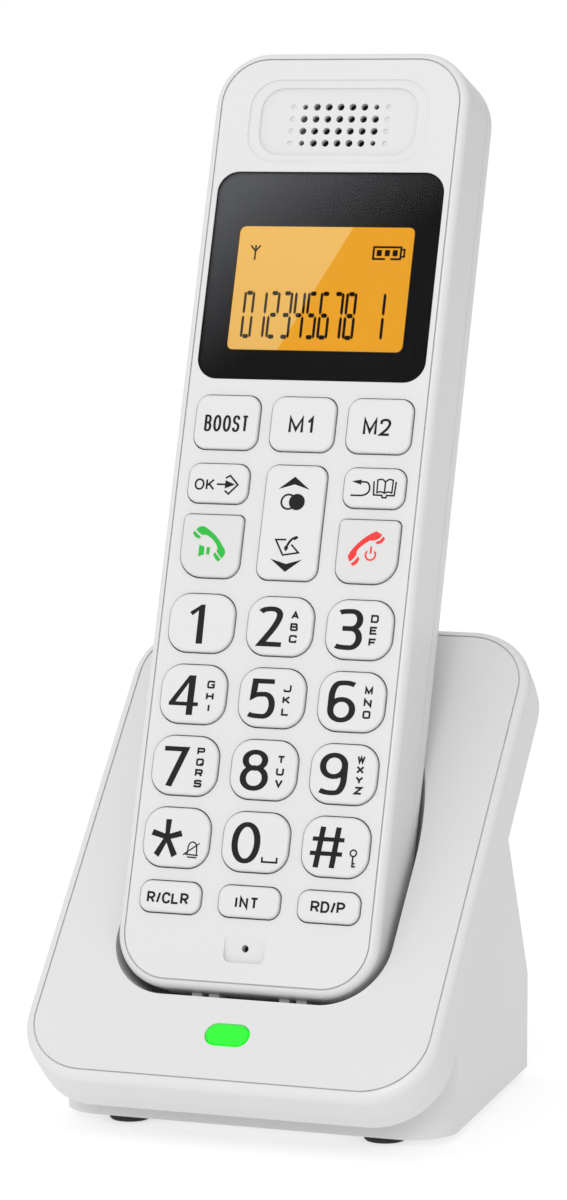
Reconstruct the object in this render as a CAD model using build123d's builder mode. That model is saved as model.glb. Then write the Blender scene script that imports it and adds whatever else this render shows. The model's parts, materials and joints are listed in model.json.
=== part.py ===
from build123d import *
import os
from math import cos, radians, sin

# Cordless phone docked in its charging base, in millimetres, +Z up, front towards -Y.
# The origin is on the ground, below the middle of the whole object.
# The handset leans back in the base: its own u runs across, v up the face and w out of the
# face, so a place on it is FACE plus (u, v, w). The base's sloping deck has u, t and w alike.
os.makedirs("parts", exist_ok=True)

# ---- driving dimensions: the handset ------------------------------------------------------
LEAN = 18.4  # lean of the docked handset, from upright
FACE_Y = -14.012  # place of the middle of the 4-5-6 key row
FACE_Z = 76.4
HALF_WIDTH = 24.5
FOOT_V = -53.0  # the handset's bottom and top ends
HEAD_V = 120.4
THICKNESS = 23.0
CORNER = 10.0
FRONT_EDGE, INNER_EDGE = 1.7, 0.6
BACK_EDGE = 9.4
WALL = 2.0
PARTING = 12.0  # depth of the seam between the two handset shells
SEAM = 0.15
LINE_INSET = 1.5  # hairline around the face
LINE_WIDTH = 0.3
LINE_DEPTH = 0.5

# display
LENS_V = 77.75
LENS_WIDTH, LENS_HEIGHT, LENS_CORNER = 43.8, 39.3, 4.0
LENS_RECESS = 1.15
LENS_PROUD = 0.1
LENS_THICKNESS = 0.75
SCREEN_V = 75.6
SCREEN_WIDTH, SCREEN_HEIGHT, SCREEN_CORNER = 33.8, 23.4, 1.2
PANEL_WIDTH, PANEL_HEIGHT = 38.0, 28.0

# earpiece
EAR_V = 106.6
EAR_PITCH = 2.3
EAR_COLUMNS, EAR_ROWS = 7, 4
EAR_HOLE, EAR_SMALL_HOLE = 1.35, 1.0
EAR_RADIUS = 9.0

# microphone
MIC_V = -45.2
SCOOP_TOP_V, SCOOP_HALF, SCOOP_LENGTH, SCOOP_DEPTH = -43.2, 3.85, 4.55, 0.8

# keys
KEY_GAP = 0.25  # between a key and its hole
KEY_PROUD = 0.8
KEY_TRAVEL = 0.7
KEY_EDGE = 0.5
FLANGE = 0.85  # how far a key's flange reaches past its hole, and how thick it is
KEY_FLOOR = 3.5  # depth of a key's stem
DOME_TOP = KEY_FLOOR + KEY_TRAVEL + 0.1
MAT_FRONT, MAT_BACK = 4.9, 5.45
BOARD_FRONT, BOARD_BACK = 5.5, 6.7
ROCKER_AXLE = 2.85  # depth of the rocker's axle
ROCKER_AXLE_RADIUS = 0.6
COLUMN = 15.0

# battery
CELL_RADIUS, CELL_LENGTH = 5.25, 43.5
CELL_U, CELL_V, CELL_W = 5.5, 56.5, -14.8
CELL_HALF_SPAN = 25.5  # half the length of the battery bay
BAY_HALF = 11.9
DOOR_HALF, DOOR_LEDGE, DOOR_GAP = 14.0, 2.5, 0.12
DOOR_THICKNESS = 1.75
BAY_FLOOR, BAY_WALL = 9.3, 1.3

# handset screws and contacts
SCREW_U, SCREW_LOW_V, SCREW_HIGH_V = 12.0, -46.0, 112.0
SCREW_RADIUS, HEAD_RADIUS, HEAD_HEIGHT = 1.1, 2.1, 1.5
BOSS_RADIUS = 2.6
CONTACT_U, CONTACT_W = 8.25, -10.5
RINGER_V, RINGER_RADIUS, RINGER_HEIGHT = -12.0, 14.0, 5.0

# ---- driving dimensions: the base ---------------------------------------------------------
DECK_LEAN = 42.07  # lean of the sloping deck
DECK_Y, DECK_Z = FACE_Y - 28.62, FACE_Z - 63.13  # lowest point of the deck's hairline
RIM_HALF = 38.65
RIM_LOW, RIM_HIGH = -2.15, 97.4
RIM_CORNER = 13.0
RIM_EDGE = 1.8
SLAB = 6.9  # thickness of the sloping top shell
DECK_WALL = 2.0
FLANGE_THICKNESS, FLANGE_EDGE = 3.6, 1.4  # lower shell's flange under the top shell
FLANGE_FLOOR = 2.0
HOUSE_HALF, HOUSE_BACK_HALF = 37.4, 32.0  # half widths of the housing at its front and back
HOUSE_FRONT, HOUSE_BACK = FACE_Y - 14.2, FACE_Y + 50.6
HOUSE_BOTTOM, HOUSE_KNEE = 1.55, 19.4
HOUSE_TOP_T = 72.0  # where the back slope meets the deck's underside
HOUSE_CORNER, HOUSE_BACK_CORNER = 8.5, 3.0
POCKET_GAP = 1.4
POCKET_END_GAP = 1.3
POCKET_EDGE = 11.6  # rounding of the pocket's back, before its gap
POCKET_WALL = 1.8
LAMP_T, LAMP_WIDTH, LAMP_HEIGHT, LAMP_GAP = 8.7, 8.4, 4.6, 0.3
FOOT_RADIUS, FOOT_RECESS = 3.7, 0.6
FOOT_PLACES = [(x, y) for x in (-24.2, 24.2) for y in (HOUSE_FRONT + 5.8, HOUSE_BACK - 7)]
BASE_SCREW_X, BASE_SCREW_Y = 17.0, FACE_Y - 4.0
BACK_SCREW_U, BACK_SCREW_T = 25.0, 86.0
PIN_RADIUS, PIN_COLLAR, PIN_BORE = 0.55, 1.2, 1.3
BOARD_Z, BOARD_THICKNESS = 5.6, 1.6  # the base's circuit board
JACK_X, JACK_Z, JACK_RADIUS = -14.0, 12.8, 2.85
SOCKET_X, SOCKET_WIDTH, SOCKET_HEIGHT, SOCKET_DEPTH = 12.0, 9.8, 6.8, 11.0

# ---- planes -------------------------------------------------------------------------------


def leaning(lean, y, z):
    """A plane that faces the front, leaning back from upright, with its own Y up the slope."""
    angle = radians(lean)
    return Plane(origin=(0, y, z), x_dir=(1, 0, 0), z_dir=(0, -cos(angle), sin(angle)))


FACE = leaning(LEAN, FACE_Y, FACE_Z)
DECK = leaning(DECK_LEAN, DECK_Y, DECK_Z)
OUT_OF_FACE = Axis(FACE.origin, FACE.z_dir)
UP_FACE = Axis(FACE.origin, FACE.y_dir)
OUT_OF_DECK = Axis(DECK.origin, DECK.z_dir)


def face_point(u, v, w):
    """A place on the handset, in the object's own frame."""
    return FACE.origin + FACE.x_dir * u + FACE.y_dir * v + FACE.z_dir * w


def up_the_face(u, v, w):
    """A plane across the handset, facing its top end."""
    return Plane(origin=face_point(u, v, w), x_dir=FACE.x_dir, z_dir=FACE.y_dir)


def outline(half_width, low, high, radius):
    """A rounded rectangle from low to high along the sketch's Y."""
    with Locations((0, (low + high) / 2)):
        RectangleRounded(2 * half_width, high - low, radius)


def save(builder, name):
    builder.part.label = name
    export_step(builder.part, f"parts/{name}.step")


# ---- keys: centre, size and corner radii (bottom left, bottom right, top left, top right) ---
KEYS = {}


def lay_row(names, spacing, v, width, height, corners):
    """Three places across the face, some of them empty."""
    for name, column in zip(names, (-1, 0, 1)):
        if name:
            KEYS[name] = (column * spacing, v, width, height, corners)


lay_row(("key_boost", "key_m1", "key_m2"), 14.6, 49.9, 12.66, 10.45, (2.6,) * 4)
lay_row(("key_ok", None, "key_book"), 14.9, 38.5, 12.0, 7.7, (2.4,) * 4)
lay_row((None, "key_nav", None), 0, 31.7, 11.9, 21.5, (2.4,) * 4)
lay_row(("key_talk", None, None), 14.9, 26.9, 11.9, 12.0, (4.5, 3.0, 1.3, 1.3))
lay_row((None, None, "key_end"), 14.9, 26.9, 11.9, 12.0, (3.0, 4.5, 1.3, 1.3))
for row, names in enumerate((("key_1", "key_2", "key_3"), ("key_4", "key_5", "key_6"),
                             ("key_7", "key_8", "key_9"), ("key_star", "key_0", "key_hash"))):
    lay_row(names, COLUMN, 12.7 - 13.0 * row, 12.85, 11.1, (4.0,) * 4)
lay_row(("key_recall", "key_int", "key_redial"), 14.9, -37.0, 11.9, 6.06, (2.2,) * 4)


def key_sketch(name, inset, depth):
    """A key's outline, inset all round, as a sketch at a depth behind the face."""
    u, v, width, height, corners = KEYS[name]
    half_u, half_v = width / 2 - inset, height / 2 - inset
    with BuildSketch(FACE.offset(-depth)) as sketch:
        with Locations((u, v)):
            Rectangle(2 * half_u, 2 * half_v)
        places = ((-1, -1), (1, -1), (-1, 1), (1, 1))
        for (side, end), radius in zip(places, corners):
            corner = (u + side * half_u, v + end * half_v, 0)
            fillet(sketch.vertices().sort_by_distance(corner)[0], radius=radius - inset)
    return sketch.sketch


# ---- outsides shared by several pieces ------------------------------------------------------


def handset_block(shrink):
    """The closed handset as one solid, shrunk all round."""
    with BuildPart() as block:
        with BuildSketch(FACE.offset(-shrink)):
            outline(HALF_WIDTH - shrink, FOOT_V + shrink, HEAD_V - shrink, CORNER - shrink)
        extrude(amount=-(THICKNESS - 2 * shrink))
        ends = block.faces().sort_by(OUT_OF_FACE)
        fillet(ends[-1].edges(), radius=max(FRONT_EDGE - shrink, INNER_EDGE))
        fillet(ends[0].edges(), radius=BACK_EDGE - shrink)
    return block.part


def pocket_block(grow):
    """The room that the handset drops into, open towards the front and top, grown all round."""
    with BuildPart() as block:
        side = POCKET_GAP + grow
        with BuildSketch(FACE.offset(30)):
            outline(HALF_WIDTH + side, FOOT_V - POCKET_END_GAP - grow, 60, CORNER + side)
        extrude(amount=-(30 + THICKNESS + side))
        fillet(block.faces().sort_by(OUT_OF_FACE)[0].edges(), radius=POCKET_EDGE + side)
    return block.part


def house_block(shrink):
    """The lower housing as one solid, shrunk all round and rising through the deck."""
    under = DECK.offset(-SLAB)
    knee = under.origin + under.y_dir * HOUSE_TOP_T
    slope_y, slope_z = HOUSE_BACK - knee.Y, knee.Z - HOUSE_KNEE
    length = (slope_y ** 2 + slope_z ** 2) ** 0.5
    rise = 6.0  # past the deck's underside, along the back slope
    bend = shrink * (length - slope_z) / slope_y  # how far the knee drops in a thinner block
    top_y = knee.Y - shrink * length / slope_z - rise * slope_y / slope_z
    with BuildPart() as block:
        with BuildSketch(Plane.YZ):
            with BuildLine():
                Polyline(
                    (HOUSE_FRONT + shrink, HOUSE_BOTTOM + shrink),
                    (HOUSE_BACK - shrink, HOUSE_BOTTOM + shrink),
                    (HOUSE_BACK - shrink, HOUSE_KNEE - bend),
                    (top_y, knee.Z + rise),
                    (HOUSE_FRONT + shrink, knee.Z + rise),
                    close=True,
                )
            make_face()
        extrude(amount=RIM_HALF, both=True)
        with BuildSketch(Plane.XY) as plan:
            front, back = HOUSE_FRONT + shrink, HOUSE_BACK - shrink
            with BuildLine():
                Polyline((shrink - HOUSE_HALF, front), (HOUSE_HALF - shrink, front),
                         (HOUSE_BACK_HALF - shrink, back), (shrink - HOUSE_BACK_HALF, back),
                         close=True)
            make_face()
            corners = plan.vertices().group_by(Axis.Y)
            fillet(corners[0], radius=HOUSE_CORNER - shrink)
            fillet(corners[-1], radius=max(HOUSE_BACK_CORNER - shrink, 0.6))
        extrude(amount=knee.Z + rise, mode=Mode.INTERSECT)
    return block.part


HANDSET_OUTSIDE = handset_block(0)
HANDSET_INSIDE = handset_block(WALL)
POCKET_ROOM = pocket_block(0)
POCKET_OUTSIDE = pocket_block(POCKET_WALL)
HOUSE_OUTSIDE = house_block(0)
HOUSE_INSIDE = house_block(DECK_WALL)
BACKSTOP = THICKNESS + 5  # deep enough to pass through the handset's back

# ---- handset front shell ------------------------------------------------------------------
ear_columns = [(column - (EAR_COLUMNS - 1) / 2) * EAR_PITCH for column in range(EAR_COLUMNS)]
ear_rows = [EAR_V + (row - (EAR_ROWS - 1) / 2) * EAR_PITCH for row in range(EAR_ROWS)]
ear_corners = [(u, v) for u in (ear_columns[0], ear_columns[-1]) for v in (ear_rows[0], ear_rows[-1])]
ear_holes = [(u, v) for u in ear_columns for v in ear_rows if (u, v) not in ear_corners]
ear_dimples = [(side * (ear_columns[-1] + EAR_PITCH), v) for side in (-1, 1) for v in ear_rows]
screw_places = [(side * SCREW_U, v) for side in (-1, 1) for v in (SCREW_LOW_V, SCREW_HIGH_V)]
SCOOP = leaning(LEAN - 10.2, face_point(0, SCOOP_TOP_V, 0).Y, face_point(0, SCOOP_TOP_V, 0).Z)
EAR_DISH = 0.9
EAR_STEP = 0.22

with BuildPart() as handset_front_shell:
    add(HANDSET_OUTSIDE)
    add(HANDSET_INSIDE, mode=Mode.SUBTRACT)
    split(bisect_by=FACE.offset(-PARTING), keep=Keep.TOP)
    with BuildSketch(FACE.offset(-WALL)):
        with Locations(*screw_places):
            Circle(BOSS_RADIUS)
    extrude(amount=-(PARTING - WALL))
    with BuildSketch(FACE):
        inset = LINE_INSET - LINE_WIDTH / 2
        outline(HALF_WIDTH - inset, FOOT_V + inset, HEAD_V - inset, CORNER - inset)
        inset = LINE_INSET + LINE_WIDTH / 2
        with Locations((0, (FOOT_V + HEAD_V) / 2)):
            RectangleRounded(2 * (HALF_WIDTH - inset), HEAD_V - FOOT_V - 2 * inset, CORNER - inset,
                             mode=Mode.SUBTRACT)
    extrude(amount=-LINE_DEPTH, mode=Mode.SUBTRACT)
    key_holes = [key_sketch(name, 0, 0).face() for name in KEYS]
    extrude(key_holes, amount=-WALL - 1, mode=Mode.SUBTRACT)
    with BuildSketch(FACE):
        with Locations((0, LENS_V)):
            RectangleRounded(LENS_WIDTH, LENS_HEIGHT, LENS_CORNER)
    extrude(amount=-LENS_RECESS, mode=Mode.SUBTRACT)
    with BuildSketch(FACE):
        with Locations((0, SCREEN_V)):
            RectangleRounded(SCREEN_WIDTH + 2, SCREEN_HEIGHT + 2, SCREEN_CORNER + 1)
    extrude(amount=-WALL - 1, mode=Mode.SUBTRACT)
    with BuildSketch(FACE):
        outline(17.3, 99.2, 115.0, 5.5)
    extrude(amount=-EAR_STEP, mode=Mode.SUBTRACT)
    with BuildSketch(FACE):
        outline(15.2, 100.6, 113.5, 4.4)
    extrude(amount=-EAR_DISH, mode=Mode.SUBTRACT)
    dish = handset_front_shell.faces().filter_by(Plane(face_point(0, 0, 0), z_dir=FACE.z_dir))
    dish_floor = dish.sort_by_distance(face_point(0, EAR_V, -EAR_DISH))[0]
    fillet(dish_floor.outer_wire().edges(), radius=0.55)
    with BuildSketch(FACE):
        with Locations(*ear_holes):
            Circle(EAR_HOLE / 2)
        with Locations(*ear_corners):
            Circle(EAR_SMALL_HOLE / 2)
    extrude(amount=-WALL - 1, mode=Mode.SUBTRACT)
    with BuildSketch(FACE):
        with Locations(*ear_dimples):
            Circle(EAR_SMALL_HOLE / 2)
    extrude(amount=-EAR_DISH - 0.25, mode=Mode.SUBTRACT)
    with BuildSketch(SCOOP):
        outline(SCOOP_HALF, -SCOOP_LENGTH, 2, 1.2)
    extrude(amount=2, mode=Mode.SUBTRACT)
    with BuildSketch(FACE):
        with Locations((0, MIC_V)):
            Circle(0.65)
    extrude(amount=-WALL - 1, mode=Mode.SUBTRACT)
    with BuildSketch(FACE.offset(-WALL - 1)):
        with Locations(*screw_places):
            Circle(SCREW_RADIUS)
    extrude(amount=-PARTING, mode=Mode.SUBTRACT)
    with BuildSketch(up_the_face(0, FOOT_V - 1, CONTACT_W)):
        with Locations((-CONTACT_U, 0), (CONTACT_U, 0)):
            Rectangle(3.6, 2.2)
    extrude(amount=WALL + 2, mode=Mode.SUBTRACT)
save(handset_front_shell, "handset_front_shell")

# ---- handset back shell, with the battery bay, screw tubes and ringer ring -----------------
BAY_LOW, BAY_HIGH = CELL_V - CELL_HALF_SPAN, CELL_V + CELL_HALF_SPAN
INNER_BACK = THICKNESS - WALL
HEAD_SEAT = 16.5  # depth of the shelf under each screw head
RINGER_RING = 1.2
with BuildPart() as handset_back_shell:
    add(HANDSET_OUTSIDE)
    add(HANDSET_INSIDE, mode=Mode.SUBTRACT)
    split(bisect_by=FACE.offset(-PARTING - SEAM), keep=Keep.BOTTOM)
    with BuildSketch(FACE.offset(-BAY_FLOOR + BAY_WALL)):
        outline(BAY_HALF + BAY_WALL, BAY_LOW - BAY_WALL, BAY_HIGH + BAY_WALL, 1.0)
    extrude(amount=-(INNER_BACK - BAY_FLOOR + BAY_WALL + 0.5))
    with BuildSketch(FACE.offset(-INNER_BACK + 2.2)):
        outline(DOOR_HALF + 0.8, BAY_LOW - DOOR_LEDGE - 0.8, BAY_HIGH + DOOR_LEDGE + 0.8, 1.5)
    extrude(amount=-2.7)
    with BuildSketch(FACE.offset(-BAY_FLOOR)):
        outline(BAY_HALF, BAY_LOW, BAY_HIGH, 1.0)
    extrude(amount=-BACKSTOP, mode=Mode.SUBTRACT)
    with BuildSketch(FACE.offset(-THICKNESS + DOOR_THICKNESS)):
        outline(DOOR_HALF, BAY_LOW - DOOR_LEDGE, BAY_HIGH + DOOR_LEDGE, 2.5)
    extrude(amount=-4, mode=Mode.SUBTRACT)
    with BuildSketch(FACE.offset(-PARTING - SEAM)):
        with Locations(*screw_places):
            Circle(BOSS_RADIUS + 0.6)
    extrude(amount=-(INNER_BACK - PARTING))
    with BuildSketch(FACE.offset(-PARTING)):
        with Locations(*screw_places):
            Circle(SCREW_RADIUS + 0.1)
    extrude(amount=-BACKSTOP, mode=Mode.SUBTRACT)
    with BuildSketch(FACE.offset(-HEAD_SEAT)):
        with Locations(*screw_places):
            Circle(HEAD_RADIUS + 0.15)
    extrude(amount=-BACKSTOP, mode=Mode.SUBTRACT)
    with BuildSketch(FACE.offset(-INNER_BACK + RINGER_HEIGHT)):
        with Locations((0, RINGER_V)):
            Circle(RINGER_RADIUS + 0.1 + RINGER_RING)
            Circle(RINGER_RADIUS + 0.1, mode=Mode.SUBTRACT)
    extrude(amount=-RINGER_HEIGHT - 0.5)
    with BuildSketch(FACE.offset(-INNER_BACK + 1)):
        for step in range(-2, 3):
            with Locations((0, RINGER_V + 3.2 * step)):
                SlotOverall(18 - 3 * abs(step), 1.4)
    extrude(amount=-6, mode=Mode.SUBTRACT)
save(handset_back_shell, "handset_back_shell")

# ---- battery door, lifted off to the back --------------------------------------------------
with BuildPart() as battery_door:
    with BuildSketch(FACE.offset(-THICKNESS)):
        outline(DOOR_HALF - DOOR_GAP, BAY_LOW - DOOR_LEDGE + DOOR_GAP,
                BAY_HIGH + DOOR_LEDGE - DOOR_GAP, 2.5 - DOOR_GAP)
    extrude(amount=DOOR_THICKNESS - 0.03)
    fillet(battery_door.faces().sort_by(OUT_OF_FACE)[0].edges(), radius=0.35)
    with BuildSketch(FACE.offset(-THICKNESS)):
        for step in range(5):
            with Locations((0, BAY_LOW + 3 + 1.8 * step)):
                SlotOverall(11 - 1.2 * step, 0.9)
    extrude(amount=0.45, mode=Mode.SUBTRACT)
    with BuildSketch(FACE.offset(-THICKNESS + DOOR_THICKNESS - 0.03)):
        with Locations((-CELL_U - 3, BAY_HIGH - 1.1), (CELL_U + 3, BAY_HIGH - 1.1)):
            Rectangle(4, 1.6)
    extrude(amount=2.4)
save(battery_door, "battery_door")

# ---- display: clear lens, black printed mask, liquid crystal panel, backlight --------------
MASK_BACK = LENS_RECESS - 0.03
with BuildPart() as display_lens:
    with BuildSketch(FACE.offset(LENS_PROUD)):
        with Locations((0, LENS_V)):
            RectangleRounded(LENS_WIDTH - 0.12, LENS_HEIGHT - 0.12, LENS_CORNER - 0.06)
    extrude(amount=-(LENS_PROUD + LENS_THICKNESS))
    chamfer(display_lens.faces().sort_by(OUT_OF_FACE)[-1].edges(), length=0.15)
save(display_lens, "display_lens")

with BuildPart() as display_mask:
    with BuildSketch(FACE.offset(-LENS_THICKNESS - 0.02)):
        with Locations((0, LENS_V)):
            RectangleRounded(LENS_WIDTH - 0.12, LENS_HEIGHT - 0.12, LENS_CORNER - 0.06)
        with Locations((0, SCREEN_V)):
            RectangleRounded(SCREEN_WIDTH, SCREEN_HEIGHT, SCREEN_CORNER, mode=Mode.SUBTRACT)
    extrude(amount=-(MASK_BACK - LENS_THICKNESS - 0.02))
save(display_mask, "display_mask")

with BuildPart() as lcd_panel:
    with BuildSketch(FACE.offset(-WALL - 0.05)):
        with Locations((0, SCREEN_V)):
            Rectangle(PANEL_WIDTH, PANEL_HEIGHT)
    extrude(amount=-1.4)
save(lcd_panel, "lcd_panel")

with BuildPart() as display_backlight:
    with BuildSketch(FACE.offset(-WALL - 1.5)):
        with Locations((0, SCREEN_V)):
            Rectangle(PANEL_WIDTH, PANEL_HEIGHT)
    extrude(amount=-(BOARD_FRONT - WALL - 1.55))
save(display_backlight, "display_backlight")

# ---- keys ----------------------------------------------------------------------------------
STEM_RADIUS = 1.9


def build_key(name):
    """A key cap with its retaining flange and the stem that presses the rubber dome."""
    u, v = KEYS[name][:2]
    with BuildPart() as key:
        cap_foot = WALL + 0.05 + FLANGE
        extrude(key_sketch(name, KEY_GAP, cap_foot), amount=cap_foot + KEY_PROUD)
        fillet(key.faces().sort_by(OUT_OF_FACE)[-1].edges(), radius=KEY_EDGE)
        extrude(key_sketch(name, KEY_GAP - FLANGE, WALL + 0.05), amount=-FLANGE)
        with BuildSketch(FACE.offset(-WALL - FLANGE)):
            with Locations((u, v)):
                Circle(STEM_RADIUS)
        extrude(amount=-(KEY_FLOOR - WALL - FLANGE))
    return key


for name in KEYS:
    if name != "key_nav":
        save(build_key(name), name)

NAV_U, NAV_V, NAV_WIDTH, NAV_HEIGHT = KEYS["key_nav"][:4]
NAV_STEMS = [(0, NAV_V - 6.6), (0, NAV_V + 6.6)]
with BuildPart() as key_nav:
    cap_foot = ROCKER_AXLE + 0.15
    extrude(key_sketch("key_nav", KEY_GAP, cap_foot), amount=cap_foot + KEY_PROUD)
    fillet(key_nav.faces().sort_by(OUT_OF_FACE)[-1].edges(), radius=KEY_EDGE)
    with BuildSketch(FACE.offset(-ROCKER_AXLE)):
        with Locations(*NAV_STEMS):
            Circle(STEM_RADIUS)
    extrude(amount=-(KEY_FLOOR - ROCKER_AXLE))
    axle_end = face_point(-NAV_WIDTH / 2 - 1.3, NAV_V, -ROCKER_AXLE)
    with BuildSketch(Plane(origin=axle_end, x_dir=FACE.y_dir, z_dir=(1, 0, 0))):
        Circle(ROCKER_AXLE_RADIUS)
    extrude(amount=NAV_WIDTH + 2.6)
save(key_nav, "key_nav")

# ---- silicone keypad mat with a dome under each key, and the board behind it ---------------
dome_places = [KEYS[name][:2] for name in KEYS if name != "key_nav"] + NAV_STEMS
with BuildPart() as keypad_mat:
    with BuildSketch(FACE.offset(-MAT_FRONT)):
        outline(21.2, -42.6, 57.5, 2.0)
    extrude(amount=-(MAT_BACK - MAT_FRONT))
    for u, v in dome_places:
        with BuildSketch(FACE.offset(-MAT_FRONT)):
            with Locations((u, v)):
                Circle(2.9)
    extrude(amount=MAT_FRONT - DOME_TOP, taper=25)
save(keypad_mat, "keypad_mat")

with BuildPart() as handset_board:
    with BuildSketch(FACE.offset(-BOARD_FRONT)):
        outline(20.8, -42.6, 94.0, 1.5)
    extrude(amount=-(BOARD_BACK - BOARD_FRONT))
    for u, v, wide, tall, high in ((-8, 8, 12, 12, 1.1), (9, 12, 9, 7, 0.9), (0, -30, 16, 9, 1.3),
                                   (8, -10, 6, 6, 1.0), (-12, -12, 5, 8, 0.9)):
        with BuildSketch(FACE.offset(-BOARD_BACK)):
            with Locations((u, v)):
                Rectangle(wide, tall)
        extrude(amount=-high)
save(handset_board, "handset_board")

# ---- earpiece, microphone and ringer -------------------------------------------------------


def speaker(plane, radius, height):
    """A small moving-coil speaker: basket, cone and magnet, facing up the plane's normal."""
    rim, magnet = 1.4, 0.55 * radius
    with BuildPart() as unit:
        with BuildSketch(Plane(origin=plane.origin, x_dir=plane.x_dir, z_dir=-plane.y_dir)):
            with BuildLine():
                Polyline((0, -0.9), (magnet, -0.9), (radius - rim, 0), (radius, 0),
                         (radius, -1.0), (radius - rim, -0.55 * height), (magnet, -0.6 * height),
                         (magnet, -height), (0, -height), close=True)
            make_face()
        revolve(axis=Axis(plane.origin, plane.z_dir))
    return unit


def face_plane_at(u, v, w, outward):
    """A plane parallel to the face, facing out of it or into it."""
    return Plane(origin=face_point(u, v, w), x_dir=FACE.x_dir, z_dir=FACE.z_dir * outward)


save(speaker(face_plane_at(0, EAR_V, -WALL - 0.05, 1), EAR_RADIUS, 4.5), "earpiece_speaker")
save(speaker(face_plane_at(0, RINGER_V, -INNER_BACK + 0.05, -1), RINGER_RADIUS, 5.0), "ringer_speaker")

with BuildPart() as microphone:
    with BuildSketch(FACE.offset(-WALL - 0.05)):
        with Locations((0, MIC_V)):
            Circle(3.0)
            Circle(0.6, mode=Mode.SUBTRACT)
    extrude(amount=-0.8)
    with BuildSketch(FACE.offset(-WALL - 0.85)):
        with Locations((0, MIC_V)):
            Circle(3.0)
    extrude(amount=-1.6)
save(microphone, "microphone")

# ---- batteries: two cells side by side, end for end, with a spring and a plate each --------
SPRING_WIRE = 0.3
NUB = 1.0


def cell_plane(side):
    """The middle of a cell, facing its positive end."""
    return Plane(origin=face_point(side * CELL_U, CELL_V, CELL_W), x_dir=FACE.x_dir,
                 z_dir=FACE.y_dir * side)


with BuildPart() as battery_cells:
    for side in (-1, 1):
        with BuildSketch(cell_plane(side).offset(-CELL_LENGTH / 2)):
            Circle(CELL_RADIUS)
        extrude(amount=CELL_LENGTH)
        with BuildSketch(cell_plane(side).offset(CELL_LENGTH / 2)):
            Circle(1.9)
        extrude(amount=NUB)
    ends = battery_cells.edges().filter_by(GeomType.CIRCLE).filter_by(
        lambda edge: abs(edge.radius - CELL_RADIUS) < 0.01)
    fillet(ends, radius=0.5)
save(battery_cells, "battery_cells")

with BuildPart() as battery_plates:
    for side in (-1, 1):
        with BuildSketch(cell_plane(side).offset(CELL_LENGTH / 2 + NUB + 0.02)):
            Rectangle(8.0, 8.0)
        extrude(amount=0.5)
        with BuildSketch(cell_plane(side).offset(-CELL_HALF_SPAN + 0.02)):
            Rectangle(8.0, 8.0)
        extrude(amount=0.5)
save(battery_plates, "battery_plates")

SPRING_ROOM = CELL_HALF_SPAN - CELL_LENGTH / 2 - 0.56 - SPRING_WIRE * 2


def coil(plane, height, radius, wire, turns):
    """A coil spring standing on a plane, as one swept wire."""
    path = plane * Helix(pitch=height / turns, height=height, radius=radius)
    with BuildPart() as spring:
        with BuildLine():
            add(path)
        with BuildSketch(Plane(origin=path @ 0, z_dir=path % 0)):
            Circle(wire / 2)
        sweep(path=path, is_frenet=True)
    return spring.part


battery_coils = [coil(cell_plane(side).offset(-CELL_HALF_SPAN + 0.54 + SPRING_WIRE), SPRING_ROOM,
                      2.4, SPRING_WIRE * 2, 2.5) for side in (-1, 1)]
with BuildPart() as battery_springs:
    add(battery_coils)
save(battery_springs, "battery_springs")

# ---- handset charging contacts and screws --------------------------------------------------
with BuildPart() as handset_charge_contacts:
    with BuildSketch(up_the_face(0, FOOT_V, CONTACT_W)):
        with Locations((-CONTACT_U, 0), (CONTACT_U, 0)):
            Rectangle(3.5, 2.1)
    extrude(amount=WALL)
    with BuildSketch(up_the_face(0, FOOT_V + WALL + 0.02, CONTACT_W)):
        with Locations((-CONTACT_U, 0), (CONTACT_U, 0)):
            Rectangle(5.4, 2.8)
    extrude(amount=0.5)
    with BuildSketch(up_the_face(0, FOOT_V + WALL - 0.5, CONTACT_W)):
        with Locations((-CONTACT_U, 0), (CONTACT_U, 0)):
            Rectangle(2.0, 1.0)
    extrude(amount=2.6)
save(handset_charge_contacts, "handset_charge_contacts")


def screws(plane, places, length):
    """Pan-head screws driven up a plane's normal, their heads seated on the plane."""
    with BuildPart() as group:
        with BuildSketch(plane):
            with Locations(*places):
                Circle(HEAD_RADIUS)
        extrude(amount=-HEAD_HEIGHT)
        fillet(group.faces().filter_by(Plane(plane.origin, z_dir=plane.z_dir)).group_by(
            Axis(plane.origin, plane.z_dir))[0].edges(), radius=0.5)
        with BuildSketch(plane):
            with Locations(*places):
                Circle(SCREW_RADIUS - 0.02)
        extrude(amount=length)
        with BuildSketch(plane.offset(-HEAD_HEIGHT)):
            with Locations(*places):
                Rectangle(2.2, 0.5)
                Rectangle(0.5, 2.2)
        extrude(amount=0.7, mode=Mode.SUBTRACT)
    return group.part


HANDSET_SCREWS = screws(FACE.offset(-HEAD_SEAT), screw_places, HEAD_SEAT - WALL - 2)
with BuildPart() as handset_screws:
    add(HANDSET_SCREWS)
save(handset_screws, "handset_screws")


# ---- base: top shell with the sloping deck and the pocket ----------------------------------
RIM_LINE = RIM_EDGE + 0.02
WELL_FLOOR_V = FOOT_V - POCKET_END_GAP
BASE_SCREWS = [(-BASE_SCREW_X, BASE_SCREW_Y), (BASE_SCREW_X, BASE_SCREW_Y)]
BACK_SCREWS = [(-BACK_SCREW_U, BACK_SCREW_T), (BACK_SCREW_U, BACK_SCREW_T)]
BASE_BOSS_Z, BASE_SEAT_Z = 12.0, 4.2
CONTACTS = [(-CONTACT_U, 0), (CONTACT_U, 0)]
RIB_OFFSET, RIB_WIDTH, RIB_LENGTH, RIB_W = 1.6, 1.9, 8.0, -9.0
POCKET_WELL = split(POCKET_OUTSIDE, bisect_by=DECK.offset(-DECK_WALL / 2), keep=Keep.BOTTOM)


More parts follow.
